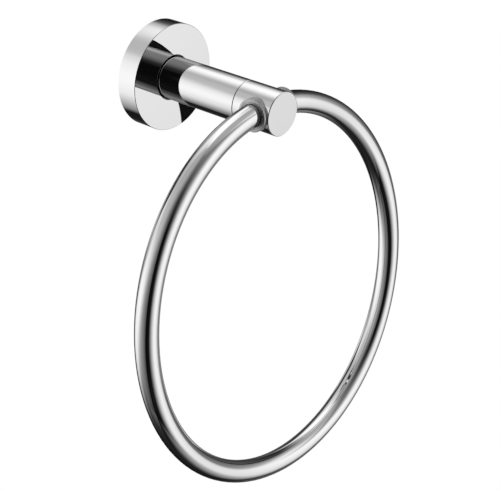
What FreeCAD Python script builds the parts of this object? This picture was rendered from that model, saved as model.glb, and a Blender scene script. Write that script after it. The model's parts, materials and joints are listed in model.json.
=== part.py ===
import FreeCAD, Part
import math
import os
import re
import Sketcher

# A towel ring: a bracket and a cup flange on the wall, a straight round post, a head on its end
# and a large ring that swings in two bushes in the head.
#
# Sizes are in millimetres. The back of the flange and of the bracket lies in the plane Y = 0, with
# the wall behind it at +Y. The post runs along -Y and +Z is up. The origin is the centre of the
# flange's back. Each swinging part is drawn about the pivot and then placed there.

# Driving sizes

SIZES = [
    ("flange_radius", 27.5, "outside radius of the wall flange"),
    ("flange_depth", 11.6, "height of the flange off the wall"),
    ("flange_wall", 2.6, "thickness of the flange's rim"),
    ("flange_face", 2.4, "thickness of the flange's front"),
    ("flange_edge", 0.2, "chamfer round the flange's front"),
    ("flange_corner", 1.0, "inside corner radius of the flange"),
    ("flange_seat_edge", 0.3, "chamfer at the flange's back edge"),
    ("seat_depth", 1.2, "depth of the post's seat in the flange's front"),
    ("seat_gap", 0.5, "radial gap between post and seat"),
    ("seat_round", 0.4, "rounding of the seat's edge"),
    ("bracket_gap", 0.4, "radial gap between bracket and flange"),
    ("bracket_thickness", 6.0, "thickness of the wall bracket"),
    ("head_room", 1.0, "radial gap between the post screw's head and the bracket's hole"),
    ("groove_depth", 1.8, "depth of the V-groove round the bracket"),
    ("groove_out", 3.0, "groove and set screw, distance from the wall"),
    ("slot_width", 5.0, "width of a slot"),
    ("slot_length", 6.5, "end-to-end length of a slot"),
    ("recess_width", 9.0, "width of the recess for a screw's head"),
    ("recess_length", 10.5, "end-to-end length of that recess"),
    ("recess_depth", 1.6, "depth of that recess"),
    ("recess_margin", 1.5, "distance from a recess to the bracket's edge"),
    ("set_screw_radius", 2.0, "radius of the set screw"),
    ("set_screw_tip", 0.3, "radius of the flat on its point"),
    ("set_screw_inset", 0.3, "its outer end, below the flange's rim"),
    ("set_screw_key", 2.0, "its hexagon socket, across flats"),
    ("set_screw_key_depth", 1.4, "depth of that socket"),
    ("point_gap", 0.15, "gap between its point and the groove"),
    ("thread_gap", 0.05, "radial gap between a screw and its thread"),
    ("screw_radius", 4.0, "radius of the post screw and of the stud"),
    ("screw_hole_gap", 0.3, "radial gap where the post screw passes the flange"),
    ("screw_length", 20.0, "length of the post screw under its head"),
    ("screw_head_radius", 6.5, "radius of the post screw's head"),
    ("screw_head_height", 3.6, "height of that head"),
    ("screw_head_edge", 0.6, "chamfer of that head"),
    ("screw_key", 5.0, "its hexagon socket, across flats"),
    ("screw_key_depth", 2.2, "depth of that socket"),
    ("washer_radius", 8.0, "outside radius of the flat washer"),
    ("washer_thickness", 1.2, "thickness of the flat washer"),
    ("lock_washer_radius", 6.6, "outside radius of the lock washer"),
    ("lock_washer_thickness", 1.6, "thickness of the lock washer"),
    ("lock_washer_split", 0.8, "width of the split in the lock washer"),
    ("post_radius", 11.0, "radius of the post and of the head"),
    ("post_length", 48.8, "length of the post outside the flange"),
    ("post_bore_depth", 18.0, "depth of the post screw's thread"),
    ("post_foot_edge", 0.3, "chamfer at the post's foot"),
    ("joint_edge", 0.25, "chamfer on both sides of the joint line"),
    ("stud_in_post", 9.0, "length of the stud inside the post"),
    ("stud_in_head", 5.6, "length of the stud inside the head"),
    ("stud_edge", 0.6, "chamfer on the stud's ends"),
    ("bore_spare", 0.4, "spare depth past each end of the stud"),
    ("head_length", 22.4, "length of the head"),
    ("head_edge", 0.3, "chamfer round the head's end face"),
    ("pivot_from_joint", 13.4, "the ring's pivot, distance from the joint line"),
    ("head_bore", 6.5, "radius of the cross bore in the head"),
    ("bush_gap", 0.05, "radial gap between bush and cross bore"),
    ("bush_inner_end", 2.0, "inner end of a bush, from the middle"),
    ("collar_inset", 1.3, "the collar's largest radius, inside the head's radius"),
    ("collar_stand", 1.4, "the collar's end face, outside the head's radius"),
    ("collar_cone", 3.9, "length of the collar's cone"),
    ("collar_lip", 1.9, "width of the collar's end face round its mouth"),
    ("collar_round", 0.6, "rounding of that face's outer edge"),
    ("face_ring_at", 0.5, "distance from the mouth to the fine groove in that face"),
    ("face_ring", 0.2, "width and depth of that groove"),
    ("mouth_gap", 0.3, "radial gap between the tube's end and the collar's mouth"),
    ("tube_cover", 0.3, "length of tube inside the collar's mouth"),
    ("pin_radius", 4.0, "radius of a ring pin"),
    ("pin_gap", 0.05, "running gap between pin and bush"),
    ("pin_inner_end", 2.6, "inner end of a pin, from the middle"),
    ("pin_edge", 0.5, "chamfer on a pin's inner end"),
    ("plug_length", 2.4, "length of a pin's plug inside the tube"),
    ("plug_gap", 0.15, "radial gap between plug and tube"),
    ("ring_end_gap", 0.3, "gap between the tube's end and the mouth's floor"),
    ("ring_radius", 94.8, "radius of the ring, to the middle of its tube"),
    ("tube_radius", 5.7, "outside radius of the tube"),
    ("tube_wall", 1.2, "wall thickness of the tube"),
    ("end_straight", 0.4, "straight length at each end of the tube"),
    ("end_bend", 15.0, "bend radius from straight end to ring"),
    ("ring_lean", 8.0, "the ring's swing away from the wall, in degrees"),
]

doc = FreeCAD.newDocument("TowelRing")
sheet = doc.addObject("Spreadsheet::Sheet", "Sizes")
for row, (alias, number, meaning) in enumerate(SIZES, start=1):
    sheet.set(f"A{row}", meaning)
    sheet.set(f"B{row}", str(number))
    sheet.setAlias(f"B{row}", alias)
doc.recompute()

# Places along the post and the pivot, worked out from the sizes

FACE_IN = "(flange_depth - flange_face)"
SEAT_AT = "(flange_depth - seat_depth)"
SEAT_RADIUS = "(post_radius + seat_gap)"
LOCK_AT = "(flange_depth - flange_face - washer_thickness)"
SCREW_AT = "(flange_depth - flange_face - washer_thickness - lock_washer_thickness)"
JOINT_AT = "(flange_depth + post_length)"
HEAD_END = "(flange_depth + post_length + head_length)"
PIVOT_AT = "(flange_depth + post_length + pivot_from_joint)"
FLANGE_BORE = "(flange_radius - flange_wall)"
BRACKET_RADIUS = "(flange_radius - flange_wall - bracket_gap)"
GROOVE_FLOOR = "(flange_radius - flange_wall - bracket_gap - groove_depth)"
BRACKET_BORE = "(screw_head_radius + head_room)"
SLOT_AT = "(flange_radius - flange_wall - bracket_gap - recess_margin - recess_length / 2)"
THREAD = "(screw_radius + thread_gap)"
PIN_BORE = "(pin_radius + pin_gap)"
COLLAR_END = "(post_radius + collar_stand)"
COLLAR_BASE = "(post_radius + collar_stand - collar_cone)"
COLLAR_RADIUS = "(post_radius - collar_inset)"
MOUTH = "(tube_radius + mouth_gap)"
MOUTH_FLOOR = "(post_radius + collar_stand - tube_cover - ring_end_gap)"
LIP_RADIUS = "(tube_radius + mouth_gap + collar_lip)"
TUBE_END = "(post_radius + collar_stand - tube_cover)"
TUBE_BEND = "(post_radius + collar_stand - tube_cover + end_straight)"

NAMES = re.compile(r"\b(?!sqrt\b)[a-z]\w*")
pieces = []


# Helpers: expressions, sketches and features


def bind(expression):
    """The expression with each size's name pointed at the sheet."""
    return NAMES.sub(lambda name: "Sizes." + name.group(0), expression)


def value(expression):
    """The number that an expression gives now."""
    return float(sheet.evalExpression(bind(expression)))


def new_body(label):
    """A body for one piece; its label names the piece's file."""
    body = doc.addObject("PartDesign::Body", label)
    body.Label = label
    pieces.append(body)
    return body


def new_sketch(body, plane, name, shift=None):
    """A sketch on one of the body's own origin planes, moved along the plane's normal by shift."""
    sketch = body.newObject("Sketcher::SketchObject", body.Label + "_" + name)
    support = [item for item in body.Origin.OriginFeatures if item.Role == plane][0]
    sketch.AttachmentSupport = [(support, "")]
    sketch.MapMode = "FlatFace"
    if shift:
        sketch.setExpression("AttachmentOffset.Base.z", bind(shift))
    return sketch


def fix_point(sketch, element, end, across, up):
    """Ties one point of a sketch to its two coordinates."""
    for kind, expression in (("DistanceX", across), ("DistanceY", up)):
        if expression == "0":
            axis = -2 if kind == "DistanceX" else -1
            sketch.addConstraint(Sketcher.Constraint("PointOnObject", element, end, axis))
        else:
            number = value(expression)
            index = sketch.addConstraint(Sketcher.Constraint(kind, -1, 1, element, end, number))
            sketch.setExpression(f"Constraints[{index}]", bind(expression))


def fix_radius(sketch, element, expression):
    """Ties the radius of a circle or an arc to a size."""
    index = sketch.addConstraint(Sketcher.Constraint("Radius", element, value(expression)))
    sketch.setExpression(f"Constraints[{index}]", bind(expression))


def draw_outline(sketch, corners):
    """A closed outline of straight lines through the corners, each given by two expressions."""
    points = [FreeCAD.Vector(value(across), value(up), 0) for across, up in corners]
    lines = []
    for start, end in zip(points, points[1:] + points[:1]):
        lines.append(sketch.addGeometry(Part.LineSegment(start, end)))
    for here, after in zip(lines, lines[1:] + lines[:1]):
        sketch.addConstraint(Sketcher.Constraint("Coincident", here, 2, after, 1))
    for line, (across, up) in zip(lines, corners):
        fix_point(sketch, line, 1, across, up)


def draw_circle(sketch, across, up, radius):
    """A circle at a place given by two expressions."""
    centre = FreeCAD.Vector(value(across), value(up), 0)
    circle = sketch.addGeometry(Part.Circle(centre, FreeCAD.Vector(0, 0, 1), value(radius)))
    if across == "0" and up == "0":
        sketch.addConstraint(Sketcher.Constraint("Coincident", circle, 3, -1, 1))
    else:
        fix_point(sketch, circle, 3, across, up)
    fix_radius(sketch, circle, radius)


def draw_hexagon(sketch, across_flats):
    """A hexagon about the sketch's origin, with two corners on its vertical axis."""
    half = f"({across_flats} / 2)"
    low = f"({across_flats} / 2 / sqrt(3))"
    tip = f"({across_flats} / sqrt(3))"
    corners = [(half, "-" + low), (half, low), ("0", tip)]
    corners += [("-" + half, low), ("-" + half, "-" + low), ("0", "-" + tip)]
    draw_outline(sketch, corners)


def draw_slot(sketch, middle, length, width):
    """A slot along the sketch's horizontal axis, centred at middle."""
    left = f"({middle} - ({length} - {width}) / 2)"
    right = f"({middle} + ({length} - {width}) / 2)"
    radius = f"({width} / 2)"
    up = FreeCAD.Vector(0, 0, 1)
    quarter = math.pi / 2
    x_left, x_right, r = value(left), value(right), value(radius)
    round_left = Part.Circle(FreeCAD.Vector(x_left, 0, 0), up, r)
    round_right = Part.Circle(FreeCAD.Vector(x_right, 0, 0), up, r)
    arc_left = sketch.addGeometry(Part.ArcOfCircle(round_left, quarter, 3 * quarter))
    arc_right = sketch.addGeometry(Part.ArcOfCircle(round_right, -quarter, quarter))
    bottom = [FreeCAD.Vector(x_left, -r, 0), FreeCAD.Vector(x_right, -r, 0)]
    top = [FreeCAD.Vector(x_right, r, 0), FreeCAD.Vector(x_left, r, 0)]
    line_bottom = sketch.addGeometry(Part.LineSegment(*bottom))
    line_top = sketch.addGeometry(Part.LineSegment(*top))
    sketch.addConstraint(Sketcher.Constraint("Tangent", arc_left, 2, line_bottom, 1))
    sketch.addConstraint(Sketcher.Constraint("Tangent", line_bottom, 2, arc_right, 1))
    sketch.addConstraint(Sketcher.Constraint("Tangent", arc_right, 2, line_top, 1))
    sketch.addConstraint(Sketcher.Constraint("Tangent", line_top, 2, arc_left, 1))
    fix_point(sketch, arc_left, 3, left, "0")
    fix_point(sketch, arc_right, 3, right, "0")
    fix_radius(sketch, arc_right, radius)


def turn(body, name, axis, corners):
    """A turned form: an outline in the XY plane, revolved about the sketch's V_Axis or H_Axis."""
    sketch = new_sketch(body, "XY_Plane", name + "_profile")
    draw_outline(sketch, corners)
    feature = body.newObject("PartDesign::Revolution", body.Label + "_" + name)
    feature.Profile = sketch
    feature.ReferenceAxis = (sketch, [axis])
    feature.Angle = 360
    return feature


def cut(body, name, sketch, depth=None, reverse=False, both_ways=False):
    """A pocket of the sketch, through all or to a depth."""
    doc.recompute()
    before = body.Shape.Volume
    feature = body.newObject("PartDesign::Pocket", body.Label + "_" + name)
    feature.Profile = sketch
    feature.Reversed = reverse
    feature.Midplane = both_ways
    if depth:
        feature.setExpression("Length", bind(depth))
    else:
        feature.Type = "ThroughAll"
    doc.recompute()
    if body.Shape.Volume >= before:
        raise RuntimeError(f"{body.Label}: {name} cuts nothing")
    return feature


def round_edges(body, name, size, keep, kind="Fillet"):
    """A fillet or chamfer on the edges of the body's tip that keep chooses."""
    doc.recompute()
    base = body.Tip
    chosen = [f"Edge{n}" for n, edge in enumerate(base.Shape.Edges, start=1) if keep(edge)]
    if not chosen:
        raise RuntimeError(f"{body.Label}: no edge for {name}")
    feature = body.newObject("PartDesign::" + kind, body.Label + "_" + name)
    feature.Base = (base, chosen)
    feature.setExpression("Radius" if kind == "Fillet" else "Size", bind(size))
    return feature


def is_circle_at(edge, radius, along, place):
    """True for a full circle of this radius whose centre lies at place along one axis."""
    near = 1e-4
    if not isinstance(edge.Curve, Part.Circle) or len(edge.Vertexes) > 1:
        return False
    centre = getattr(edge.Curve.Center, along)
    return abs(edge.Curve.Radius - radius) < near and abs(centre - place) < near


# The wall flange: a turned cup with a seat for the post's foot


def make_flange():
    body = new_body("wall_flange")
    hole = "(screw_radius + screw_hole_gap)"
    turn(body, "cup", "V_Axis", [
        (FLANGE_BORE, "0"),
        ("flange_radius - flange_seat_edge", "0"),
        ("flange_radius", "-flange_seat_edge"),
        ("flange_radius", "-(flange_depth - flange_edge)"),
        ("flange_radius - flange_edge", "-flange_depth"),
        (SEAT_RADIUS, "-flange_depth"),
        (SEAT_RADIUS, "-" + SEAT_AT),
        (hole, "-" + SEAT_AT),
        (hole, "-" + FACE_IN),
        (FLANGE_BORE, "-" + FACE_IN),
    ])
    inside = value(FLANGE_BORE)
    floor = -value(FACE_IN)
    round_edges(body, "corner", "flange_corner", lambda edge: is_circle_at(edge, inside, "y", floor))
    seat = value(SEAT_RADIUS)
    front = -value("flange_depth")
    round_edges(body, "seat_edge", "seat_round", lambda edge: is_circle_at(edge, seat, "y", front))
    sketch = new_sketch(body, "XY_Plane", "set_screw_circle")
    draw_circle(sketch, "0", "-groove_out", "set_screw_radius + thread_gap")
    cut(body, "set_screw_hole", sketch)


# The wall bracket: a disc with a V-groove for the set screw and two slots for wall screws


def make_bracket():
    body = new_body("wall_bracket")
    turn(body, "disc", "V_Axis", [
        (BRACKET_BORE, "0"),
        (BRACKET_RADIUS, "0"),
        (BRACKET_RADIUS, "-(groove_out - groove_depth)"),
        (GROOVE_FLOOR, "-groove_out"),
        (BRACKET_RADIUS, "-(groove_out + groove_depth)"),
        (BRACKET_RADIUS, "-bracket_thickness"),
        (BRACKET_BORE, "-bracket_thickness"),
    ])
    slots = new_sketch(body, "XZ_Plane", "slots")
    recesses = new_sketch(body, "XZ_Plane", "recesses", "bracket_thickness")
    for middle in (SLOT_AT, "-" + SLOT_AT):
        draw_slot(slots, middle, "slot_length", "slot_width")
        draw_slot(recesses, middle, "recess_length", "recess_width")
    cut(body, "slot_cut", slots, both_ways=True)
    cut(body, "recess_cut", recesses, depth="recess_depth")


# The set screw: a grub screw that locks the flange to the bracket, point up from below


def make_set_screw():
    body = new_body("set_screw")
    point = f"({GROOVE_FLOOR} + point_gap)"
    tail = "(flange_radius - set_screw_inset)"
    turn(body, "shank", "V_Axis", [
        ("0", f"-({point} + set_screw_tip)"),
        ("set_screw_tip", f"-({point} + set_screw_tip)"),
        ("set_screw_radius", f"-({point} + set_screw_radius)"),
        ("set_screw_radius", f"-({tail})"),
        ("0", f"-({tail})"),
    ])
    sketch = new_sketch(body, "XZ_Plane", "socket", tail)
    draw_hexagon(sketch, "set_screw_key")
    cut(body, "socket_cut", sketch, depth="set_screw_key_depth")
    # Drawn along Y and then turned to point up, with its axis on the groove
    body.Placement.Rotation = FreeCAD.Rotation(FreeCAD.Vector(1, 0, 0), 90)
    body.setExpression("Placement.Base.y", bind("-groove_out"))


# What holds the post to the flange: a socket screw, a lock washer and a flat washer


def make_washer(label, radius, thickness, at):
    body = new_body(label)
    hole = "(screw_radius + screw_hole_gap)"
    turn(body, "disc", "V_Axis", [
        (hole, f"-({at} - {thickness})"),
        (radius, f"-({at} - {thickness})"),
        (radius, f"-{at}"),
        (hole, f"-{at}"),
    ])
    return body


def make_washers():
    make_washer("post_washer", "washer_radius", "washer_thickness", FACE_IN)
    body = make_washer("post_lock_washer", "lock_washer_radius", "lock_washer_thickness", LOCK_AT)
    sketch = new_sketch(body, "XY_Plane", "split")
    draw_outline(sketch, [
        ("-lock_washer_split / 2", f"-({SCREW_AT} - lock_washer_split)"),
        ("lock_washer_split / 2", f"-({SCREW_AT} - lock_washer_split)"),
        ("lock_washer_split / 2", f"-({LOCK_AT} + lock_washer_split)"),
        ("-lock_washer_split / 2", f"-({LOCK_AT} + lock_washer_split)"),
    ])
    cut(body, "split_cut", sketch, reverse=True)


def make_post_screw():
    body = new_body("post_screw")
    head_back = f"({SCREW_AT} - screw_head_height)"
    tip = f"({SCREW_AT} + screw_length)"
    turn(body, "blank", "V_Axis", [
        ("0", f"-{head_back}"),
        ("screw_head_radius - screw_head_edge", f"-{head_back}"),
        ("screw_head_radius", f"-({head_back} + screw_head_edge)"),
        ("screw_head_radius", f"-{SCREW_AT}"),
        ("screw_radius", f"-{SCREW_AT}"),
        ("screw_radius", f"-({tip} - stud_edge)"),
        ("screw_radius - stud_edge", f"-{tip}"),
        ("0", f"-{tip}"),
    ])
    sketch = new_sketch(body, "XZ_Plane", "socket", head_back)
    draw_hexagon(sketch, "screw_key")
    cut(body, "socket_cut", sketch, depth="screw_key_depth", reverse=True)


# The post, the stud and the head, turned parts on one axis


def make_post():
    body = new_body("post")
    screw_bore = "(flange_depth + post_bore_depth)"
    stud_bore = f"({JOINT_AT} - stud_in_post - bore_spare)"
    turn(body, "bar", "V_Axis", [
        (THREAD, "-" + SEAT_AT),
        ("post_radius - post_foot_edge", "-" + SEAT_AT),
        ("post_radius", f"-({SEAT_AT} + post_foot_edge)"),
        ("post_radius", f"-({JOINT_AT} - joint_edge)"),
        ("post_radius - joint_edge", f"-{JOINT_AT}"),
        (THREAD, f"-{JOINT_AT}"),
        (THREAD, f"-{stud_bore}"),
        ("0", f"-{stud_bore}"),
        ("0", f"-{screw_bore}"),
        (THREAD, f"-{screw_bore}"),
    ])


def make_stud():
    body = new_body("head_stud")
    start = f"({JOINT_AT} - stud_in_post)"
    end = f"({JOINT_AT} + stud_in_head)"
    turn(body, "rod", "V_Axis", [
        ("0", f"-{start}"),
        ("screw_radius - stud_edge", f"-{start}"),
        ("screw_radius", f"-({start} + stud_edge)"),
        ("screw_radius", f"-({end} - stud_edge)"),
        ("screw_radius - stud_edge", f"-{end}"),
        ("0", f"-{end}"),
    ])


def make_head():
    body = new_body("head")
    stud_bore = f"({JOINT_AT} + stud_in_head + bore_spare)"
    turn(body, "bar", "V_Axis", [
        (THREAD, f"-{JOINT_AT}"),
        ("post_radius - joint_edge", f"-{JOINT_AT}"),
        ("post_radius", f"-({JOINT_AT} + joint_edge)"),
        ("post_radius", f"-({HEAD_END} - head_edge)"),
        ("post_radius - head_edge", f"-{HEAD_END}"),
        ("0", f"-{HEAD_END}"),
        ("0", f"-{stud_bore}"),
        (THREAD, f"-{stud_bore}"),
    ])
    sketch = new_sketch(body, "YZ_Plane", "cross_bore")
    draw_circle(sketch, "-" + PIVOT_AT, "0", "head_bore")
    cut(body, "cross_cut", sketch, both_ways=True)


# The two bushes: a collar with a saddle back on the head's round side, and a sleeve in the bore


def make_bush(label, side):
    body = new_body(label)
    body.setExpression("Placement.Base.y", bind("-" + PIVOT_AT))
    sleeve = "(head_bore - bush_gap)"
    turn(body, "collar", "H_Axis", [
        (f"{side}bush_inner_end", PIN_BORE),
        (f"{side}{MOUTH_FLOOR}", PIN_BORE),
        (f"{side}{MOUTH_FLOOR}", MOUTH),
        (f"{side}{COLLAR_END}", MOUTH),
        (f"{side}{COLLAR_END}", f"{MOUTH} + face_ring_at"),
        (f"{side}({COLLAR_END} - face_ring)", f"{MOUTH} + face_ring_at"),
        (f"{side}({COLLAR_END} - face_ring)", f"{MOUTH} + face_ring_at + face_ring"),
        (f"{side}{COLLAR_END}", f"{MOUTH} + face_ring_at + face_ring"),
        (f"{side}{COLLAR_END}", LIP_RADIUS),
        (f"{side}{COLLAR_BASE}", COLLAR_RADIUS),
        (f"{side}bush_inner_end", COLLAR_RADIUS),
    ])
    end = (-1 if side else 1) * value(COLLAR_END)
    rim = value(LIP_RADIUS)
    round_edges(body, "collar_edge", "collar_round", lambda edge: is_circle_at(edge, rim, "x", end))
    sketch = new_sketch(body, "XZ_Plane", "saddle")
    draw_circle(sketch, "0", "0", "post_radius")
    cut(body, "saddle_cut", sketch, both_ways=True)
    turn(body, "sleeve", "H_Axis", [
        (f"{side}bush_inner_end", PIN_BORE),
        (f"{side}{MOUTH_FLOOR}", PIN_BORE),
        (f"{side}{MOUTH_FLOOR}", sleeve),
        (f"{side}bush_inner_end", sleeve),
    ])


# The ring: a bent tube, open at the head, with a turned pin in each end


def place_swinging(body):
    """Puts a piece drawn about the pivot at the pivot, swung away from the wall."""
    body.Placement.Rotation = FreeCAD.Rotation(FreeCAD.Vector(-1, 0, 0), value("ring_lean"))
    body.setExpression("Placement.Rotation.Angle", bind("ring_lean"))
    body.setExpression("Placement.Base.y", bind("-" + PIVOT_AT))


def draw_ring_path(sketch):
    """The tube's middle line: a short straight end, a bend, the ring, and the same on the left."""
    end, start, bend, radius = [value(item) for item in (TUBE_END, TUBE_BEND, "end_bend", "ring_radius")]
    reach = math.sqrt((radius - bend) ** 2 - start ** 2)
    centre_z = -bend - reach
    turned = math.atan2(start, reach)
    quarter = math.pi / 2
    up = FreeCAD.Vector(0, 0, 1)
    bend_right = Part.Circle(FreeCAD.Vector(start, -bend, 0), up, bend)
    bend_left = Part.Circle(FreeCAD.Vector(-start, -bend, 0), up, bend)
    hoop = Part.Circle(FreeCAD.Vector(0, centre_z, 0), up, radius)
    parts = [
        Part.LineSegment(FreeCAD.Vector(end, 0, 0), FreeCAD.Vector(start, 0, 0)),
        Part.ArcOfCircle(bend_right, quarter - turned, quarter),
        Part.ArcOfCircle(hoop, quarter + turned, 5 * quarter - turned),
        Part.ArcOfCircle(bend_left, quarter, quarter + turned),
        Part.LineSegment(FreeCAD.Vector(-start, 0, 0), FreeCAD.Vector(-end, 0, 0)),
    ]
    line_right, arc_right, arc_ring, arc_left, line_left = [sketch.addGeometry(item) for item in parts]
    sketch.addConstraint(Sketcher.Constraint("Tangent", line_right, 2, arc_right, 2))
    sketch.addConstraint(Sketcher.Constraint("Tangent", arc_right, 1, arc_ring, 2))
    sketch.addConstraint(Sketcher.Constraint("Tangent", arc_ring, 1, arc_left, 2))
    sketch.addConstraint(Sketcher.Constraint("Tangent", arc_left, 1, line_left, 1))
    fix_point(sketch, line_right, 1, TUBE_END, "0")
    fix_point(sketch, line_right, 2, TUBE_BEND, "0")
    fix_point(sketch, line_left, 1, "-" + TUBE_BEND, "0")
    fix_point(sketch, line_left, 2, "-" + TUBE_END, "0")
    fix_radius(sketch, arc_right, "end_bend")
    fix_radius(sketch, arc_left, "end_bend")
    fix_radius(sketch, arc_ring, "ring_radius")


def make_ring():
    body = new_body("ring")
    path = new_sketch(body, "XZ_Plane", "path")
    draw_ring_path(path)
    section = new_sketch(body, "YZ_Plane", "section", TUBE_END)
    draw_circle(section, "0", "0", "tube_radius")
    draw_circle(section, "0", "0", "tube_radius - tube_wall")
    doc.recompute()
    pipe = body.newObject("PartDesign::AdditivePipe", "ring_tube")
    pipe.Profile = section
    pipe.Spine = path
    doc.recompute()
    place_swinging(body)


def make_pin(label, side):
    body = new_body(label)
    plug = "(tube_radius - tube_wall - plug_gap)"
    turn(body, "blank", "H_Axis", [
        (f"{side}pin_inner_end", "0"),
        (f"{side}pin_inner_end", "pin_radius - pin_edge"),
        (f"{side}(pin_inner_end + pin_edge)", "pin_radius"),
        (f"{side}{TUBE_END}", "pin_radius"),
        (f"{side}{TUBE_END}", plug),
        (f"{side}({TUBE_END} + plug_length)", plug),
        (f"{side}({TUBE_END} + plug_length)", "0"),
    ])
    place_swinging(body)


make_flange()
make_bracket()
make_set_screw()
make_washers()
make_post_screw()
make_post()
make_stud()
make_head()
make_bush("bush_left", "-")
make_bush("bush_right", "")
make_ring()
make_pin("pin_left", "-")
make_pin("pin_right", "")
doc.recompute()

# Every object is checked before any file is written

for item in doc.Objects:
    if "Invalid" in item.State or "Error" in item.State:
        raise RuntimeError(f"{item.Name} is {item.State}")
for piece in pieces:
    shape = piece.Shape
    if shape.isNull() or not shape.isValid() or len(shape.Solids) != 1:
        raise RuntimeError(f"{piece.Label} is not one valid solid")

os.makedirs("parts", exist_ok=True)
for piece in pieces:
    piece.Shape.exportStep(f"parts/{piece.Label}.step")
    box = piece.Shape.BoundBox
    print(f"{piece.Label}: {piece.Shape.Volume:.1f} mm3, Y {box.YMin:.2f} to {box.YMax:.2f}")
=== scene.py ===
import bmesh
import bpy
import json
import math
from mathutils import Matrix, Vector


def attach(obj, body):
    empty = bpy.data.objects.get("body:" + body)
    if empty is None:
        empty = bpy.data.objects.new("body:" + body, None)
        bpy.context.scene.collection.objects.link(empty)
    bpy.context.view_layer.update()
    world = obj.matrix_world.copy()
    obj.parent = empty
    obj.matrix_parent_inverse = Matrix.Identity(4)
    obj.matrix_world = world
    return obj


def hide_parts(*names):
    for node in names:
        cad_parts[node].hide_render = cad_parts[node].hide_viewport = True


# A chrome towel ring: wall flange, post, head with two bushes, and a ring that swings in them.
# Lengths are in metres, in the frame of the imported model: the wall is the plane Y = 0, the post
# runs along -Y and +Z is up.

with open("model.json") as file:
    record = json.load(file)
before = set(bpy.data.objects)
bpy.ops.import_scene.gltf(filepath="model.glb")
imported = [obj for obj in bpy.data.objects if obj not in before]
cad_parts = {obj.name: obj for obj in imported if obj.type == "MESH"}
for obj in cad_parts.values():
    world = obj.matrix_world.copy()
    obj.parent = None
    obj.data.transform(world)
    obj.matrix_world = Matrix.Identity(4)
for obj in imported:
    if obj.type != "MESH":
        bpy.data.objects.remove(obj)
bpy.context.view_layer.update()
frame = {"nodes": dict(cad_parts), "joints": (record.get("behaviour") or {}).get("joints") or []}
nodes = frame["nodes"]
pivot = Vector(frame["joints"][0]["pos_m"])


def box_of(name):
    """The lowest and the highest corner of a node's box."""
    corners = nodes[name].bound_box
    return Vector(corners[0]), Vector(corners[6])


# Node helpers


def add_node(tree, kind, inputs=None, **settings):
    """A node with its settings, and its inputs set by name or number, to a value or to a socket."""
    node = tree.nodes.new(kind)
    for name, setting in settings.items():
        setattr(node, name, setting)
    for name, given in (inputs or {}).items():
        if isinstance(given, bpy.types.NodeSocket):
            tree.links.new(given, node.inputs[name])
        else:
            node.inputs[name].default_value = given
    return node


def calculate(tree, operation, *given):
    """The result of one Math node."""
    return add_node(tree, "ShaderNodeMath", dict(enumerate(given)), operation=operation).outputs[0]


def calculate_vector(tree, operation, *given, out=0):
    """The result of one Vector Math node. Its output 1 is a value, for a length or a dot product."""
    node = add_node(tree, "ShaderNodeVectorMath", dict(enumerate(given)), operation=operation)
    return node.outputs[out]


def smooth_step(tree, amount, start, end):
    """0 below start, 1 above end, and a smooth step between them."""
    given = {"Value": amount, "From Min": start, "From Max": end}
    node = add_node(tree, "ShaderNodeMapRange", given, interpolation_type="SMOOTHSTEP")
    return node.outputs["Result"]


def mix_values(tree, share, first, second):
    """A value between first and second."""
    return add_node(tree, "ShaderNodeMix", {0: share, 2: first, 3: second}, data_type="FLOAT").outputs[0]


def mix_colours(tree, share, first, second):
    """A colour between first and second."""
    return add_node(tree, "ShaderNodeMix", {0: share, 6: first, 7: second}, data_type="RGBA").outputs[2]


def add_noise(tree, point, scale, detail):
    """Cloudy noise from 0 to 1."""
    given = {"Vector": point, "Scale": scale, "Detail": detail}
    return add_node(tree, "ShaderNodeTexNoise", given).outputs["Fac"]


def new_group(name, inputs, outputs):
    """An empty node group. Each input has the word vector or, for a value, its default."""
    group = bpy.data.node_groups.new(name, "ShaderNodeTree")
    for label, given in inputs.items():
        kind = "NodeSocketVector" if given == "vector" else "NodeSocketFloat"
        socket = group.interface.new_socket(label, in_out="INPUT", socket_type=kind)
        if given != "vector":
            socket.default_value = given
    for label in outputs:
        group.interface.new_socket(label, in_out="OUTPUT", socket_type="NodeSocketFloat")
    start = group.nodes.new("NodeGroupInput").outputs
    end = group.nodes.new("NodeGroupOutput").inputs
    return group, start, end


def place_group(tree, group, **values):
    """A group inside a tree; the words of its inputs are joined by underscores."""
    node = tree.nodes.new("ShaderNodeGroup")
    node.node_tree = group
    for name, given in values.items():
        socket = node.inputs[name.replace("_", " ").capitalize()]
        if isinstance(given, bpy.types.NodeSocket):
            tree.links.new(given, socket)
        else:
            socket.default_value = given
    return node.outputs


# The studio: what the chrome reflects

HALF_TURN = 180.0
# What dull surfaces see in place of the panels
DULL_LEVEL = 0.75
# The numbers of the next two tables weren't set by hand, apart from the -90 and 90 of floor_card and
# ceiling. A separate program fitted them to the photograph's reflections, along the mirror paths over
# the solids, and printed them.
# Level behind all panels, by elevation
OPEN_LEVEL = ((-60, 0.137), (-20, 0.066), (20, 0.773), (60, 0.567))
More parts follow.
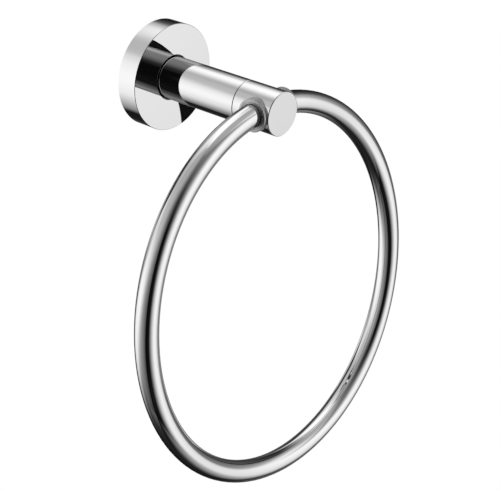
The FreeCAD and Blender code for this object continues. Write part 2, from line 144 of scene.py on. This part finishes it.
# Name, azimuth, elevation, half width, half height, softness left, right, low and high, lean, level
STUDIO = [
    ("floor_card", 0, -90, 400, 42.2, 10, 10, 8, 22.6, 0, 0.017),
    ("ceiling", 0, 90, 400, 46.6, 10, 10, 9, 10, 0, 0.412),
    ("left_screen", -94.3, 10.1, 37.5, 47.2, 4, 35.1, 28.6, 10.2, -0.23, 0.486),
    ("left_box", -136.1, -8, 26.1, 34.4, 10.3, 22.4, 16.5, 28.9, 0.75, 1.009),
    ("front_screen", 28.6, -19.7, 34.5, 41.7, 40, 11.2, 20.9, 8.4, 0.25, 0.454),
    ("front_box", 24.8, -6.1, 49.1, 35.3, 11.3, 58.7, 9.3, 20.2, 0.85, 1.019),
    ("black_card", -38.9, 11.3, 40.5, 62.5, 52.5, 32.4, 1.6, 25.1, 0.16, 0.003),
    ("black_bar", -47.4, -17.2, 12.5, 57.9, 3.8, 20.3, 20.3, 5.7, 0.28, 0.003),
    ("top_box", 135, 53, 39.9, 34.7, 16.8, 28.8, 2.5, 11, -0.12, 1.141),
    ("right_card", 104.2, 14.9, 23.6, 37.3, 18.5, 6.1, 44.4, 20.3, 0.01, 0.023),
    ("right_screen", 82, -1.5, 20.8, 22.1, 7.2, 7.6, 1.5, 56.3, 0.11, 0.141),
    ("backdrop", 116.2, -31.9, 31.5, 16, 1.8, 35.9, 25.8, 1.7, 0.23, 1.15),
    ("rear_low", 155.5, -21.1, 9.6, 19.8, 1.6, 3.1, 2.9, 1.6, 0.64, 1.15),
    ("rear_card", 159.5, 14.5, 30, 15.2, 5.8, 5.6, 1.9, 11.4, 0.26, 0.035),
    ("rear_corner", 158.2, -49.2, 29.8, 21.2, 55.6, 8.9, 16.3, 2.2, -0.49, 0.01),
    ("top_left_card", -166.9, 37.9, 43.2, 6.3, 9.5, 53.5, 4.3, 6.2, 1.5, 0.479),
    ("top_front_card", 7, 51.2, 14.1, 25.8, 49.3, 1.5, 13.2, 44.8, -1.15, 0.141),
]


def make_compass_group():
    """Azimuth and elevation of a direction in degrees: 0 is straight out from the wall, +90 is +X."""
    group, start, end = new_group("compass", {"Direction": "vector"}, ("Azimuth", "Elevation"))
    parts = add_node(group, "ShaderNodeSeparateXYZ", {0: start["Direction"]}).outputs
    outward = calculate(group, "MULTIPLY", parts["Y"], -1.0)
    azimuth = calculate(group, "ARCTAN2", parts["X"], outward)
    elevation = calculate(group, "ARCSINE", parts["Z"])
    group.links.new(calculate(group, "DEGREES", azimuth), end["Azimuth"])
    group.links.new(calculate(group, "DEGREES", elevation), end["Elevation"])
    return group


def make_panel_group():
    """One soft panel of the studio, laid over the level behind it."""
    numbers = ("Azimuth", "Elevation", "Middle azimuth", "Middle elevation", "Half width", "Half height",
               "Soft left", "Soft right", "Soft low", "Soft high", "Lean", "Panel level", "Level")
    group, start, end = new_group("studio_panel", {name: 0.0 for name in numbers}, ("Level",))
    up = calculate(group, "SUBTRACT", start["Elevation"], start["Middle elevation"])
    middle = calculate(group, "MULTIPLY_ADD", up, start["Lean"], start["Middle azimuth"])
    across = calculate(group, "SUBTRACT", start["Azimuth"], middle)
    across = calculate(group, "WRAP", across, HALF_TURN, -HALF_TURN)
    mask = None
    for along, half, below, above in ((across, "Half width", "Soft left", "Soft right"),
                                      (up, "Half height", "Soft low", "Soft high")):
        back = calculate(group, "MULTIPLY", along, -1.0)
        for distance, soft in ((along, below), (back, above)):
            inner = calculate(group, "SUBTRACT", start[soft], start[half])
            outer = calculate(group, "ADD", start[soft], start[half])
            outer = calculate(group, "MULTIPLY", outer, -1.0)
            side = smooth_step(group, distance, outer, inner)
            mask = side if mask is None else calculate(group, "MULTIPLY", mask, side)
    group.links.new(mix_values(group, mask, start["Level"], start["Panel level"]), end["Level"])
    return group


def make_open_level(tree, elevation):
    """The level behind the panels, changing evenly from one elevation to the next."""
    level = OPEN_LEVEL[0][1]
    for (low, start), (high, end) in zip(OPEN_LEVEL, OPEN_LEVEL[1:]):
        step = add_node(tree, "ShaderNodeMapRange", {"Value": elevation, "From Min": low, "From Max": high,
                                                     "To Min": 0.0, "To Max": end - start})
        level = calculate(tree, "ADD", step.outputs["Result"], level)
    return level


def make_studio():
    """White for the camera, the studio's panels for reflections and a plain level for dull surfaces."""
    world = bpy.data.worlds.new("studio")
    bpy.context.scene.world = world
    world.use_nodes = True
    tree = world.node_tree
    tree.nodes.clear()
    direction = add_node(tree, "ShaderNodeTexCoord").outputs["Generated"]
    compass = place_group(tree, make_compass_group(), direction=direction)
    panel = make_panel_group()
    level = make_open_level(tree, compass["Elevation"])
    for name, azimuth, elevation, width, height, left, right, low, high, lean, glow in STUDIO:
        level = place_group(tree, panel, azimuth=compass["Azimuth"], elevation=compass["Elevation"],
                            middle_azimuth=azimuth, middle_elevation=elevation, half_width=width,
                            half_height=height, soft_left=left, soft_right=right, soft_low=low,
                            soft_high=high, lean=lean, panel_level=glow, level=level)["Level"]
    path = add_node(tree, "ShaderNodeLightPath").outputs
    mirrored = calculate(tree, "MAXIMUM", path["Is Glossy Ray"], path["Is Transmission Ray"])
    level = mix_values(tree, mirrored, DULL_LEVEL, level)
    level = mix_values(tree, path["Is Camera Ray"], level, 1.0)
    grey = add_node(tree, "ShaderNodeCombineColor", {0: level, 1: level, 2: level}).outputs[0]
    background = add_node(tree, "ShaderNodeBackground", {"Color": grey, "Strength": 1.0})
    add_node(tree, "ShaderNodeOutputWorld", {"Surface": background.outputs[0]})
    world.cycles.sampling_method = "NONE"


# Name, place and power of the lamps for the dull surfaces
LAMPS = (("lamp_left", (-1.1, -0.9, 0.9), 6.0), ("lamp_right", (1.1, -0.8, 0.5), 3.0),
         ("lamp_rear", (0.3, 1.2, 0.7), 3.0))
LAMP_SIZE = 1.0
LAMP_TARGET = Vector((0, -0.05, -0.08))


def make_lamp(name, place, power):
    """A soft square lamp that faces the object. It doesn't show in the chrome."""
    data = bpy.data.lights.new(name, "AREA")
    data.size = LAMP_SIZE
    data.energy = power
    lamp = bpy.data.objects.new(name, data)
    lamp.location = place
    toward = LAMP_TARGET - Vector(place)
    lamp.rotation_euler = toward.to_track_quat("-Z", "Y").to_euler()
    lamp.visible_glossy = False
    bpy.context.scene.collection.objects.link(lamp)


FLOOR_REACH, FLOOR_HEIGHT, FLOOR_PAINT = 6.0, -1.2, (0.8, 0.8, 0.8, 1)


def make_floor():
    """A pale floor far below. It is white for the camera and stays out of the chrome."""
    mesh = bpy.data.meshes.new("floor")
    signs = ((-1, -1), (1, -1), (1, 1), (-1, 1))
    corners = [(right * FLOOR_REACH, back * FLOOR_REACH, FLOOR_HEIGHT) for right, back in signs]
    mesh.from_pydata(corners, [], [(0, 1, 2, 3)])
    floor = bpy.data.objects.new("floor", mesh)
    bpy.context.scene.collection.objects.link(floor)
    material = bpy.data.materials.new("pale_floor")
    material.use_nodes = True
    tree = material.node_tree
    tree.nodes.clear()
    path = add_node(tree, "ShaderNodeLightPath").outputs
    seen = calculate(tree, "MAXIMUM", path["Is Camera Ray"], path["Is Transmission Ray"])
    paint = add_node(tree, "ShaderNodeBsdfDiffuse", {"Color": FLOOR_PAINT}).outputs[0]
    white = add_node(tree, "ShaderNodeEmission", {"Color": (1, 1, 1, 1), "Strength": 1.0}).outputs[0]
    both = add_node(tree, "ShaderNodeMixShader", {0: seen, 1: paint, 2: white}).outputs[0]
    clear = add_node(tree, "ShaderNodeBsdfTransparent").outputs[0]
    surface = add_node(tree, "ShaderNodeMixShader", {0: path["Is Glossy Ray"], 1: both, 2: clear})
    add_node(tree, "ShaderNodeOutputMaterial", {"Surface": surface.outputs[0]})
    mesh.materials.append(material)


# The camera, fitted to the photograph's outlines by a separate program: its place, and its azimuth,
# elevation and roll in degrees
CAMERA_PLACE = (-0.446005, -0.432912, 0.219869)
CAMERA_ANGLES = (-50.5495, 27.0868, 2.2617)
CAMERA_LENS, CAMERA_SENSOR = 92.1, 36


def make_camera():
    """The camera of the photograph looks down at the ring from its left front."""
    data = bpy.data.cameras.new("camera")
    data.sensor_width = CAMERA_SENSOR
    data.lens = CAMERA_LENS
    azimuth, elevation, roll = (math.radians(angle) for angle in CAMERA_ANGLES)
    camera = bpy.data.objects.new("camera", data)
    turned = Matrix.Rotation(azimuth, 4, "Z") @ Matrix.Rotation(math.pi / 2 - elevation, 4, "X")
    camera.matrix_world = Matrix.Translation(CAMERA_PLACE) @ turned @ Matrix.Rotation(roll, 4, "Z")
    bpy.context.scene.collection.objects.link(camera)
    bpy.context.scene.camera = camera


# Effects that several finishes share

# The polish: detail of its patches, where they start and end, and how much finer its second noise is
PATCH_DETAIL, PATCH_START, PATCH_END, FINER, FINER_DETAIL = 4.0, 0.42, 0.72, 14.0, 2.0
# The lathe rings waver by this many turns, in clouds of this scale and detail
WAVER_TURNS, WAVER_SCALE, WAVER_DETAIL = 0.8, 300.0, 2.0
# The cast skin: detail of its grain, reach of its pits, and its far larger clouds of tone
GRAIN_DETAIL, PIT_REACH = 5.0, 0.3
CLOUD_SCALE, CLOUD_DETAIL, CLOUD_START, CLOUD_END = 0.12, 3.0, 0.35, 0.7
# How far the normal bends where an edge starts to be worn, and where it is fully worn
WEAR_START, WEAR_END = 0.005, 0.12


def make_polish_group():
    """A mirror polish that is never quite even: patches of faint haze, broken up by a finer noise."""
    group, start, end = new_group(
        "polish", {"Point": "vector", "Patch size": 0.02, "Gloss": 0.02, "Haze": 0.03},
        ("Roughness", "Mask"))
    scale = calculate(group, "DIVIDE", 1.0, start["Patch size"])
    patches = add_noise(group, start["Point"], scale, PATCH_DETAIL)
    mask = smooth_step(group, patches, PATCH_START, PATCH_END)
    finer = calculate(group, "MULTIPLY", scale, FINER)
    fine = add_noise(group, start["Point"], finer, FINER_DETAIL)
    mask = calculate(group, "MULTIPLY", mask, fine)
    group.links.new(calculate(group, "MULTIPLY_ADD", mask, start["Haze"], start["Gloss"]), end["Roughness"])
    group.links.new(mask, end["Mask"])
    return group


def make_turned_group():
    """The fine rings that a lathe leaves, about an axis through a point."""
    group, start, end = new_group(
        "turned_rings", {"Point": "vector", "Centre": "vector", "Axis": "vector", "Pitch": 0.0003},
        ("Height", "Radius"))
    arm = calculate_vector(group, "SUBTRACT", start["Point"], start["Centre"])
    along = calculate_vector(group, "DOT_PRODUCT", arm, start["Axis"], out=1)
    line = add_node(group, "ShaderNodeVectorMath", {0: start["Axis"], "Scale": along}, operation="SCALE")
    square = calculate_vector(group, "SUBTRACT", arm, line.outputs[0])
    radius = calculate_vector(group, "LENGTH", square, out=1)
    both = calculate(group, "ADD", radius, along)
    turns = calculate(group, "DIVIDE", both, start["Pitch"])
    waver = add_noise(group, start["Point"], WAVER_SCALE, WAVER_DETAIL)
    turns = calculate(group, "MULTIPLY_ADD", waver, WAVER_TURNS, turns)
    wave = calculate(group, "SINE", calculate(group, "MULTIPLY", turns, 2 * math.pi))
    group.links.new(calculate(group, "MULTIPLY_ADD", wave, 0.5, 0.5), end["Height"])
    group.links.new(radius, end["Radius"])
    return group


def make_grain_group():
    """The soft, slightly pitted skin of a casting or a plating."""
    group, start, end = new_group("cast_skin", {"Point": "vector", "Grain size": 0.0005},
                                  ("Height", "Speckle"))
    scale = calculate(group, "DIVIDE", 1.0, start["Grain size"])
    grain = add_noise(group, start["Point"], scale, GRAIN_DETAIL)
    pits = add_node(group, "ShaderNodeTexVoronoi", {"Vector": start["Point"], "Scale": scale})
    low = smooth_step(group, pits.outputs["Distance"], 0.0, PIT_REACH)
    group.links.new(calculate(group, "MULTIPLY", grain, low), end["Height"])
    larger = calculate(group, "MULTIPLY", scale, CLOUD_SCALE)
    cloud = add_noise(group, start["Point"], larger, CLOUD_DETAIL)
    group.links.new(smooth_step(group, cloud, CLOUD_START, CLOUD_END), end["Speckle"])
    return group


def make_edge_group():
    """A mask of the outer edges, where a finish rubs bright first."""
    group, start, end = new_group("edge_wear", {"Width": 0.0003, "Amount": 1.0}, ("Mask",))
    rounded = add_node(group, "ShaderNodeBevel", {"Radius": start["Width"]}, samples=4).outputs[0]
    flat = add_node(group, "ShaderNodeNewGeometry").outputs["Normal"]
    same = calculate_vector(group, "DOT_PRODUCT", rounded, flat, out=1)
    bent = calculate(group, "SUBTRACT", 1.0, same)
    mask = smooth_step(group, bent, WEAR_START, WEAR_END)
    group.links.new(calculate(group, "MULTIPLY", mask, start["Amount"]), end["Mask"])
    return group


polish = make_polish_group()
turned_rings = make_turned_group()
cast_skin = make_grain_group()
edge_wear = make_edge_group()


# Finishes

# Each metal's own tone, its duller partner and the tone of its rubbed edges
CHROME, CHROME_HAZE = (0.93, 0.93, 0.93, 1), (0.91, 0.912, 0.92, 1)
STEEL, STEEL_DARK, STEEL_WORN = (0.62, 0.63, 0.65, 1), (0.52, 0.53, 0.56, 1), (0.8, 0.8, 0.81, 1)
BUSH, BUSH_DARK = (0.65, 0.65, 0.665, 1), (0.62, 0.62, 0.635, 1)
ZINC, ZINC_DARK, ZINC_WORN = (0.5, 0.51, 0.52, 1), (0.4, 0.41, 0.42, 1), (0.7, 0.7, 0.71, 1)
# Chrome at a grazing view, the ring's painted dark reflection in the other pieces, and the painted shade in
# the gap round the post's foot
CHROME_GRAZING = (0.15, 0.15, 0.15, 1)
RING_PAINTED_REFLECTION = (0.008, 0.008, 0.008, 1)
GAP_PAINTED_SHADE, GAP_SHADE_SOFTNESS = (0.06, 0.06, 0.06, 1), 0.00005
# The two axes of turning, and the distance between two lathe rings
POST_AXIS, PIVOT_AXIS, FLANGE_MIDDLE = (0, 1, 0), (1, 0, 0), (0, 0, 0)
STEEL_PITCH, BUSH_PITCH = 0.0003, 0.00035
# Roughness, with what the lathe rings add to it and what a rubbed edge takes from it
STEEL_RINGS_ADD, BUSH_ROUGH, BUSH_RINGS_ADD, ZINC_ROUGH, ZINC_RUBBED_ADDS = 0.06, 0.45, 0.03, 0.5, -0.15
ZINC_METALLIC, ZINC_BUMP = 0.85, 0.00008


def new_finish(name):
    """An empty material with its shader and the surface point in metres."""
    material = bpy.data.materials.new(name)
    material.use_nodes = True
    tree = material.node_tree
    shader = tree.nodes["Principled BSDF"]
    point = add_node(tree, "ShaderNodeTexCoord").outputs["Object"]
    return material, tree, shader, point


def raise_surface(tree, shader, height, depth):
    """Gives the shader a bump of this depth in metres."""
    bump = add_node(tree, "ShaderNodeBump", {"Height": height, "Strength": 1.0, "Distance": depth})
    tree.links.new(bump.outputs[0], shader.inputs["Normal"])


def make_chrome(name="chrome_plate", mirrored=None, painted_shade_radius=None):
    """Bright chrome plate, a mirror with a faint haze and a trace of blue.

    With mirrored, the other pieces mirror this one as a dull, nearly black metal of that colour: a painted
    dark reflection, not the chrome's own. Within the given radius of the post's axis the colour is painted
    dark: painted shade at the bottom of the narrow gap."""
    material, tree, shader, point = new_finish(name)
    surface = place_group(tree, polish, point=point, patch_size=0.018, gloss=0.012, haze=0.03)
    colour = mix_colours(tree, surface["Mask"], CHROME, CHROME_HAZE)
    shader.inputs["Metallic"].default_value = 1.0
    # Painted shade: the colour turns dark inside the seat's gap round the post's foot, where shade falls
    if painted_shade_radius:
        rings = place_group(tree, turned_rings, point=point, centre=FLANGE_MIDDLE, axis=POST_AXIS)
        outside = smooth_step(tree, rings["Radius"], painted_shade_radius, painted_shade_radius + GAP_SHADE_SOFTNESS)
        colour = mix_colours(tree, outside, GAP_PAINTED_SHADE, colour)
    # Painted reflection: the other pieces mirror this piece as a nearly black dull metal, not as chrome
    if mirrored:
        seen = add_node(tree, "ShaderNodeLightPath").outputs["Is Glossy Ray"]
        colour = mix_colours(tree, seen, colour, mirrored)
        metal = calculate(tree, "SUBTRACT", 1.0, seen)
        tree.links.new(metal, shader.inputs["Metallic"])
        shader.inputs["Specular IOR Level"].default_value = 0.0
    tree.links.new(colour, shader.inputs["Base Color"])
    tree.links.new(surface["Roughness"], shader.inputs["Roughness"])
    shader.inputs["Specular Tint"].default_value = CHROME_GRAZING
    return material


def make_turned_steel(name, rough, centre, axis, depth):
    """Zinc-plated steel with lathe rings round one axis."""
    material, tree, shader, point = new_finish(name)
    rings = place_group(tree, turned_rings, point=point, centre=centre, axis=axis, pitch=STEEL_PITCH)
    skin = place_group(tree, cast_skin, point=point, grain_size=0.0006)
    worn = place_group(tree, edge_wear, width=0.0002, amount=0.8)["Mask"]
    tone = mix_colours(tree, skin["Speckle"], STEEL, STEEL_DARK)
    tone = mix_colours(tree, worn, tone, STEEL_WORN)
    tree.links.new(tone, shader.inputs["Base Color"])
    sheen = calculate(tree, "MULTIPLY_ADD", rings["Height"], STEEL_RINGS_ADD, rough)
    tree.links.new(sheen, shader.inputs["Roughness"])
    raise_surface(tree, shader, rings["Height"], depth)
    shader.inputs["Metallic"].default_value = 1.0
    return material


def make_bush_metal():
    """Satin grey bushes: an even blasted skin with the faintest turning rings."""
    material, tree, shader, point = new_finish("bush_metal")
    skin = place_group(tree, cast_skin, point=point, grain_size=0.00025)
    rings = place_group(tree, turned_rings, point=point, centre=pivot, axis=PIVOT_AXIS, pitch=BUSH_PITCH)
    tone = mix_colours(tree, skin["Speckle"], BUSH, BUSH_DARK)
    tree.links.new(tone, shader.inputs["Base Color"])
    sheen = calculate(tree, "MULTIPLY_ADD", rings["Height"], BUSH_RINGS_ADD, BUSH_ROUGH)
    tree.links.new(sheen, shader.inputs["Roughness"])
    shader.inputs["Metallic"].default_value = 1.0
    return material


def make_screw_steel():
    """The screws, the washers and the stud, turned about the post's axis."""
    return make_turned_steel("screw_steel", rough=0.24, centre=FLANGE_MIDDLE, axis=POST_AXIS, depth=0.000004)


def make_pin_steel():
    """The ring's pins are of the same steel, turned about the pivot."""
    return make_turned_steel("pin_steel", rough=0.2, centre=pivot, axis=PIVOT_AXIS, depth=0.000003)


def make_zinc():
    """The die-cast bracket: dull grey with a pitted skin and rubbed edges."""
    material, tree, shader, point = new_finish("zinc_bracket")
    skin = place_group(tree, cast_skin, point=point, grain_size=0.0009)
    worn = place_group(tree, edge_wear, width=0.0004, amount=0.7)["Mask"]
    tone = mix_colours(tree, skin["Speckle"], ZINC, ZINC_DARK)
    tone = mix_colours(tree, worn, tone, ZINC_WORN)
    tree.links.new(tone, shader.inputs["Base Color"])
    rough = calculate(tree, "MULTIPLY_ADD", worn, ZINC_RUBBED_ADDS, ZINC_ROUGH)
    tree.links.new(rough, shader.inputs["Roughness"])
    raise_surface(tree, shader, skin["Height"], ZINC_BUMP)
    shader.inputs["Metallic"].default_value = ZINC_METALLIC
    return material


# Finer meshes of the turned pieces that the mirror finish needs

TURN_STEPS, CORNER_STEPS, DRILL_STEPS = 240, 8, 48
# An edge that bends more than this stays crisp
CREASE = math.radians(30)
# The flange: a cup with edges, a corner inside, a seat for the post and a hole for the post's screw
FLANGE_RADIUS, FLANGE_DEPTH = box_of("wall_flange")[1].z, -box_of("wall_flange")[0].y
FLANGE_WALL, FLANGE_FACE, FLANGE_CORNER, SCREW_HOLE = 0.0026, 0.0024, 0.001, 0.0043
FLANGE_BORE, FLANGE_FLOOR = FLANGE_RADIUS - FLANGE_WALL, FLANGE_DEPTH - FLANGE_FACE
FLANGE_EDGE, FLANGE_BACK_EDGE, SEAT_GAP, SEAT_ROUND = 0.0002, 0.0003, 0.0006, 0.00028
SEAT_RADIUS, SEAT_FLOOR = box_of("post")[1].x + SEAT_GAP, -box_of("post")[1].y
# How far past the seat's wall the painted shade of the gap reaches
GAP_SHADE_SPARE = 0.00003
# The set screw's hole: radius, distance from the wall, and the heights between which it is drilled
SET_SCREW_HOLE, SET_SCREW_OUT, SET_SCREW_LOW, SET_SCREW_HIGH = 0.00205, 0.003, -0.04, -0.015
# A bush: its sleeve in the head, the bore for the pin, the mouth for the tube, and the collar's rim
HEAD_RADIUS = box_of("head")[1].x
BUSH_INNER, COLLAR_END = (corner.x for corner in box_of("bush_right"))
BUSH_SLEEVE, PIN_BORE, MOUTH, MOUTH_DEPTH = 0.00645, 0.00405, 0.006, 0.0006
MOUTH_FLOOR, COLLAR_RADIUS, COLLAR_ROUND = COLLAR_END - MOUTH_DEPTH, 0.0081, 0.0003
# The fine turned groove in the collar's face: distance from the mouth, and width and depth
FACE_RING_AT, FACE_RING = 0.0005, 0.0003


def round_corner(before, corner, after, size):
    """The points of the arc that rounds one corner of an outline."""
    before, corner, after = Vector(before), Vector(corner), Vector(after)
    back, ahead = (before - corner).normalized(), (after - corner).normalized()
    half = back.angle(ahead) / 2
    middle = corner + (back + ahead).normalized() * size / math.sin(half)
    first = corner + back * size / math.tan(half) - middle
    last = corner + ahead * size / math.tan(half) - middle
    turn = last.angle_signed(first) / CORNER_STEPS
    return [tuple(middle + Matrix.Rotation(turn * step, 2) @ first) for step in range(CORNER_STEPS + 1)]


def place_mesh(name, shape):
    """An object of that shape in the scene."""
    mesh = bpy.data.meshes.new(name)
    shape.to_mesh(mesh)
    shape.free()
    piece = bpy.data.objects.new(name, mesh)
    bpy.context.scene.collection.objects.link(piece)
    return piece


def apply_modifiers(piece):
    """Gives the piece the mesh that its modifiers make."""
    ready = piece.evaluated_get(bpy.context.evaluated_depsgraph_get())
    piece.data = bpy.data.meshes.new_from_object(ready)
    piece.modifiers.clear()


def turn_outline(name, outline, place):
    """A closed outline of points along an axis and out from it, carried once round that axis."""
    shape = bmesh.new()
    rows = []
    for step in range(TURN_STEPS):
        angle = 2 * math.pi * step / TURN_STEPS
        rows.append([shape.verts.new(place(along, out, angle)) for along, out in outline])
    for row, after in zip(rows, rows[1:] + rows[:1]):
        for here in range(len(outline)):
            there = (here + 1) % len(outline)
            shape.faces.new((row[here], row[there], after[there], after[here]))
    bmesh.ops.recalc_face_normals(shape, faces=shape.faces)
    return place_mesh(name, shape)


def smooth_curves(piece):
    """Smooths the piece's curves and keeps its edges crisp and its flats even."""
    evened = piece.modifiers.new("even_flats", "WEIGHTED_NORMAL")
    evened.keep_sharp = True
    evened.weight = 100
    piece.data.shade_smooth()
    piece.data.set_sharp_from_angle(angle=CREASE)
    apply_modifiers(piece)


def drill(piece, name, radius, start, end):
    """Drills a round hole through the piece from start to end, its facets off the piece's rows."""
    shape = bmesh.new()
    start, end = Vector(start), Vector(end)
    turned = (end - start).to_track_quat("Z", "Y").to_matrix().to_4x4()
    half_facet = Matrix.Rotation(math.pi / DRILL_STEPS, 4, "Z")
    place = Matrix.Translation((start + end) / 2) @ turned @ half_facet
    bmesh.ops.create_cone(shape, cap_ends=True, segments=DRILL_STEPS, radius1=radius, radius2=radius,
                          depth=(end - start).length, matrix=place)
    drill_bit = place_mesh(name, shape)
    hole = piece.modifiers.new(name, "BOOLEAN")
    hole.object = drill_bit
    hole.solver = "EXACT"
    apply_modifiers(piece)
    bpy.data.objects.remove(drill_bit)


def turn_flange():
    """The wall flange with the post's seat and its softly rounded edge."""
    outline = [(0, FLANGE_BORE), (0, FLANGE_RADIUS - FLANGE_BACK_EDGE), (FLANGE_BACK_EDGE, FLANGE_RADIUS),
               (FLANGE_DEPTH - FLANGE_EDGE, FLANGE_RADIUS), (FLANGE_DEPTH, FLANGE_RADIUS - FLANGE_EDGE)]
    seat = (FLANGE_DEPTH, SEAT_RADIUS)
    outline += round_corner(outline[-1], seat, (SEAT_FLOOR, SEAT_RADIUS), SEAT_ROUND)
    outline += [(SEAT_FLOOR, SEAT_RADIUS), (SEAT_FLOOR, SCREW_HOLE), (FLANGE_FLOOR, SCREW_HOLE)]
    outline += round_corner(outline[-1], (FLANGE_FLOOR, FLANGE_BORE), outline[0], FLANGE_CORNER)
    flange = turn_outline("flange", outline, lambda along, out, angle: (
        out * math.sin(angle), -along, out * math.cos(angle)))
    low, high = ((0, -SET_SCREW_OUT, height) for height in (SET_SCREW_LOW, SET_SCREW_HIGH))
    drill(flange, "set_screw_hole", SET_SCREW_HOLE, low, high)
    smooth_curves(flange)
    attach(flange, "holder")
    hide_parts("wall_flange")
    return flange


def turn_bush(side_name, side):
    """One bush: its sleeve in the head, and a collar that sits on the head like a saddle."""
    def place(along, out, angle):
        """On the head's surface where along is None."""
        across, up = out * math.sin(angle), out * math.cos(angle)
        if along is None:
            along = math.sqrt(HEAD_RADIUS ** 2 - up ** 2)
        return side * along, pivot.y + across, pivot.z + up

    outline = [(BUSH_INNER, PIN_BORE), (MOUTH_FLOOR, PIN_BORE), (MOUTH_FLOOR, MOUTH), (COLLAR_END, MOUTH)]
    inner, outer = MOUTH + FACE_RING_AT, MOUTH + FACE_RING_AT + FACE_RING
    outline += [(COLLAR_END, inner), (COLLAR_END - FACE_RING, inner)]
    outline += [(COLLAR_END - FACE_RING, outer), (COLLAR_END, outer)]
    rim = (COLLAR_END, COLLAR_RADIUS)
    outline += round_corner(outline[-1], rim, (HEAD_RADIUS, COLLAR_RADIUS), COLLAR_ROUND)
    outline += [(None, COLLAR_RADIUS), (None, BUSH_SLEEVE), (BUSH_INNER, BUSH_SLEEVE)]
    bush = turn_outline("bush_" + side_name + "_fine", outline, place)
    smooth_curves(bush)
    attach(bush, "holder")
    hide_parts("bush_" + side_name)
    return bush


def give_finish(material, *names):
    """Puts one finish on every slot of the nodes."""
    for name in names:
        mesh = nodes[name].data
        if not mesh.materials:
            mesh.materials.append(material)
        for place in range(len(mesh.materials)):
            mesh.materials[place] = material


# The whole scene

make_camera()
make_studio()
make_floor()
for name, place, power in LAMPS:
    make_lamp(name, place, power)
chrome, bush_metal = make_chrome(), make_bush_metal()
give_finish(chrome, "wall_flange", "post", "head")
# The ring's chrome paints its reflection in the other pieces nearly black
give_finish(make_chrome("ring_chrome_painted_reflection", mirrored=RING_PAINTED_REFLECTION), "ring")
give_finish(bush_metal, "bush_left", "bush_right")
# The flange's chrome has painted shade in the gap round the post's foot
turn_flange().data.materials.append(make_chrome("flange_chrome_painted_gap_shade", painted_shade_radius=SEAT_RADIUS + GAP_SHADE_SPARE))
for side_name, side in (("left", -1), ("right", 1)):
    turn_bush(side_name, side).data.materials.append(bush_metal)
give_finish(make_screw_steel(), "set_screw", "post_washer", "post_lock_washer", "post_screw", "head_stud")
give_finish(make_pin_steel(), "pin_left", "pin_right")
give_finish(make_zinc(), "wall_bracket")

bpy.context.scene.view_settings.view_transform = "Standard"
